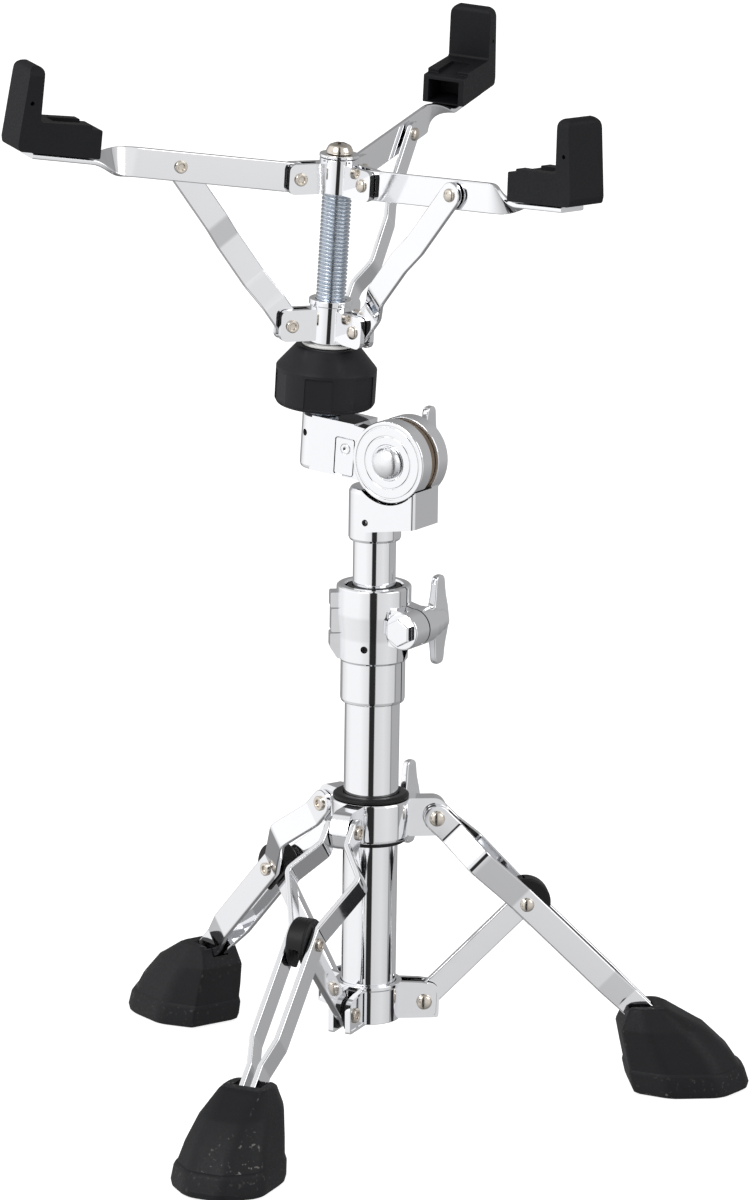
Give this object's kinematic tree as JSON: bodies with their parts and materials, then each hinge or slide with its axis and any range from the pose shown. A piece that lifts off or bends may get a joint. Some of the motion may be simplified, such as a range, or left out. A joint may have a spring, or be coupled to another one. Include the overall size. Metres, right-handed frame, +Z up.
{
  "type": "snare drum stand",
  "caption": "Folding tripod stand with a height-adjustable tube, a tilter and a folding basket whose rubber pads hold a snare drum.",
  "frame": {"origin": "on the floor, under the middle of the stand's bounding box", "axes": "+Z up along the column; +X to the right and +Y away, as the stand is seen from its front"},
  "size_m": [0.3916, 0.3738, 0.554],
  "materials": {
    "chrome": "bright chrome plating on steel and cast zinc",
    "rubber": "moulded black rubber, satin, lightly scuffed",
    "knob_plastic": "moulded black plastic, satin",
    "black_plastic": "moulded black nylon",
    "rivet_metal": "warm nickel plating",
    "zinc_thread": "bright zinc-plated thread",
    "brown_fibre": "brown pressed fibre",
    "white_nylon": "white nylon"
  },
  "bodies": {
    "base": {"base_tube": "chrome", "lower_collar": "chrome", "height_clamp": "chrome", "tube_end_plug": "black_plastic", "clamp_hex_bolt": "chrome"},
    "collar": {"sliding_collar": "chrome", "collar_bushing": "black_plastic"},
    "collar_wing": {"collar_wing_bolt": "chrome"},
    "leg_1": {"leg_1_left_bar": "chrome", "leg_1_right_bar": "chrome", "leg_1_spacer": "black_plastic", "foot_1": "rubber", "leg_1_rivet": "rivet_metal"},
    "brace_1": {"brace_1": "chrome", "brace_1_rivet": "rivet_metal"},
    "leg_2": {"leg_2_left_bar": "chrome", "leg_2_right_bar": "chrome", "leg_2_spacer": "black_plastic", "foot_2": "rubber", "leg_2_rivet": "rivet_metal"},
    "brace_2": {"brace_2": "chrome", "brace_2_rivet": "rivet_metal"},
    "leg_3": {"leg_3_left_bar": "chrome", "leg_3_right_bar": "chrome", "leg_3_spacer": "black_plastic", "foot_3": "rubber", "leg_3_rivet": "rivet_metal"},
    "brace_3": {"brace_3": "chrome", "brace_3_rivet": "rivet_metal"},
    "clamp_wing": {"clamp_wing_nut": "chrome"},
    "bushing": {"clamp_bushing": "black_plastic"},
    "mast": {"upper_tube": "chrome", "tilter_base": "chrome"},
    "tilter": {"tilter_arm": "chrome", "tilter_key_plate": "chrome", "tilter_bolt": "chrome", "tilter_washer": "brown_fibre", "threaded_rod": "zinc_thread", "upper_hub": "chrome", "top_screw": "rivet_metal", "top_washer": "chrome", "arm_1_rivet": "rivet_metal", "arm_2_rivet": "rivet_metal", "arm_3_rivet": "rivet_metal"},
    "tilter_wing": {"tilter_wing_nut": "chrome"},
    "hub": {"lower_hub": "chrome", "knob_washer": "white_nylon", "strut_1_rivet": "rivet_metal", "strut_2_rivet": "rivet_metal", "strut_3_rivet": "rivet_metal"},
    "knob": {"height_knob": "knob_plastic"},
    "arm_1": {"arm_1": "chrome", "pad_1": "rubber"},
    "strut_1": {"strut_1": "chrome"},
    "arm_2": {"arm_2": "chrome", "pad_2": "rubber"},
    "strut_2": {"strut_2": "chrome"},
    "arm_3": {"arm_3": "chrome", "pad_3": "rubber"},
    "strut_3": {"strut_3": "chrome"}
  },
  "joints": [
    {"name": "collar_slide", "type": "slide", "parent": "base", "child": "collar", "axis": [0, 0, 1], "range_m": [0, 0.036]},
    {"name": "collar_wing_turn", "type": "hinge", "parent": "collar", "child": "collar_wing", "pos_m": [-0.00608, 0.00193, 0.15], "axis": [0.5592, 0.829, 0], "continuous": true},
    {"name": "leg_1_fold", "type": "hinge", "parent": "collar", "child": "leg_1", "pos_m": [0.02767, 0.0056, 0.15], "axis": [-0.108, 0.9942, 0], "range_deg": [0, 30]},
    {"name": "brace_1_fold", "type": "hinge", "parent": "base", "child": "brace_1", "pos_m": [0.02272, 0.00506, 0.05], "axis": [0.108, -0.9942, 0], "range_deg": [0, 27.3]},
    {"name": "leg_2_fold", "type": "hinge", "parent": "collar", "child": "leg_2", "pos_m": [-0.02613, 0.02933, 0.15], "axis": [-0.807, -0.5906, 0], "range_deg": [0, 30]},
    {"name": "brace_2_fold", "type": "hinge", "parent": "base", "child": "brace_2", "pos_m": [-0.02319, 0.02531, 0.05], "axis": [0.807, 0.5906, 0], "range_deg": [0, 27.3]},
    {"name": "leg_3_fold", "type": "hinge", "parent": "collar", "child": "leg_3", "pos_m": [-0.01978, -0.02913, 0.15], "axis": [0.915, -0.4035, 0], "range_deg": [0, 30]},
    {"name": "brace_3_fold", "type": "hinge", "parent": "base", "child": "brace_3", "pos_m": [-0.01777, -0.02458, 0.05], "axis": [-0.915, 0.4035, 0], "range_deg": [0, 27.3]},
    {"name": "clamp_wing_turn", "type": "hinge", "parent": "base", "child": "clamp_wing", "pos_m": [0.01405, -0.01114, 0.254], "axis": [0.5446, 0.8387, 0], "continuous": true},
    {"name": "tube_swivel", "type": "hinge", "parent": "base", "child": "bushing", "pos_m": [-0.00608, 0.00193, 0.2743], "axis": [0, 0, 1], "continuous": true},
    {"name": "height_slide", "type": "slide", "parent": "bushing", "child": "mast", "axis": [0, 0, 1], "range_m": [-0.02, 0.12]},
    {"name": "tilt", "type": "hinge", "parent": "mast", "child": "tilter", "pos_m": [0.0065, -0.00624, 0.342], "axis": [0.5446, 0.8387, 0], "range_deg": [-7, 75]},
    {"name": "tilter_wing_turn", "type": "hinge", "parent": "tilter", "child": "tilter_wing", "pos_m": [0.0065, -0.00624, 0.342], "axis": [0.5446, 0.8387, 0], "continuous": true},
    {"name": "hub_slide", "type": "slide", "parent": "tilter", "child": "hub", "axis": [0.0461, -0.0299, 0.9985], "range_m": [-0.003, 0.024]},
    {"name": "knob_turn", "type": "hinge", "parent": "hub", "child": "knob", "pos_m": [-0.02998, 0.01745, 0.43], "axis": [0.0461, -0.0299, 0.9985], "range_deg": [-543, 4328]},
    {"name": "arm_1_fold", "type": "hinge", "parent": "tilter", "child": "arm_1", "pos_m": [-0.01209, -0.0011, 0.4831], "axis": [-0.7393, -0.6732, 0.0139], "range_deg": [-4, 31.8]},
    {"name": "strut_1_fold", "type": "hinge", "parent": "hub", "child": "strut_1", "pos_m": [-0.01563, 0.0012, 0.40652], "axis": [-0.7393, -0.6732, 0.0139], "range_deg": [-1.2, 9]},
    {"name": "arm_2_fold", "type": "hinge", "parent": "tilter", "child": "arm_2", "pos_m": [-0.0186, 0.03693, 0.48454], "axis": [0.9206, -0.3867, -0.0541], "range_deg": [-4, 31.8]},
    {"name": "strut_2_fold", "type": "hinge", "parent": "hub", "child": "strut_2", "pos_m": [-0.02213, 0.03923, 0.40796], "axis": [0.9206, -0.3867, -0.0541], "range_deg": [-1.2, 9]},
    {"name": "arm_3_fold", "type": "hinge", "parent": "tilter", "child": "arm_3", "pos_m": [-0.04823, 0.00617, 0.48499], "axis": [-0.42, 0.9063, 0.0466], "range_deg": [-4, 31.8]},
    {"name": "strut_3_fold", "type": "hinge", "parent": "hub", "child": "strut_3", "pos_m": [-0.05177, 0.00847, 0.4084], "axis": [-0.42, 0.9063, 0.0466], "range_deg": [-1.2, 9]}
  ],
  "couplings": [
    {"joint": "leg_1_fold", "follows": "collar_slide", "rad_per_m": 14.457},
    {"joint": "brace_1_fold", "follows": "collar_slide", "rad_per_m": 13.158},
    {"joint": "leg_2_fold", "follows": "collar_slide", "rad_per_m": 14.457},
    {"joint": "brace_2_fold", "follows": "collar_slide", "rad_per_m": 13.158},
    {"joint": "leg_3_fold", "follows": "collar_slide", "rad_per_m": 14.457},
    {"joint": "brace_3_fold", "follows": "collar_slide", "rad_per_m": 13.158},
    {"joint": "knob_turn", "follows": "hub_slide", "rad_per_m": 3141.6},
    {"joint": "arm_1_fold", "follows": "hub_slide", "rad_per_m": 23.009},
    {"joint": "strut_1_fold", "follows": "hub_slide", "rad_per_m": 6.5086},
    {"joint": "arm_2_fold", "follows": "hub_slide", "rad_per_m": 23.009},
    {"joint": "strut_2_fold", "follows": "hub_slide", "rad_per_m": 6.5086},
    {"joint": "arm_3_fold", "follows": "hub_slide", "rad_per_m": 23.009},
    {"joint": "strut_3_fold", "follows": "hub_slide", "rad_per_m": 6.5086}
  ]
}
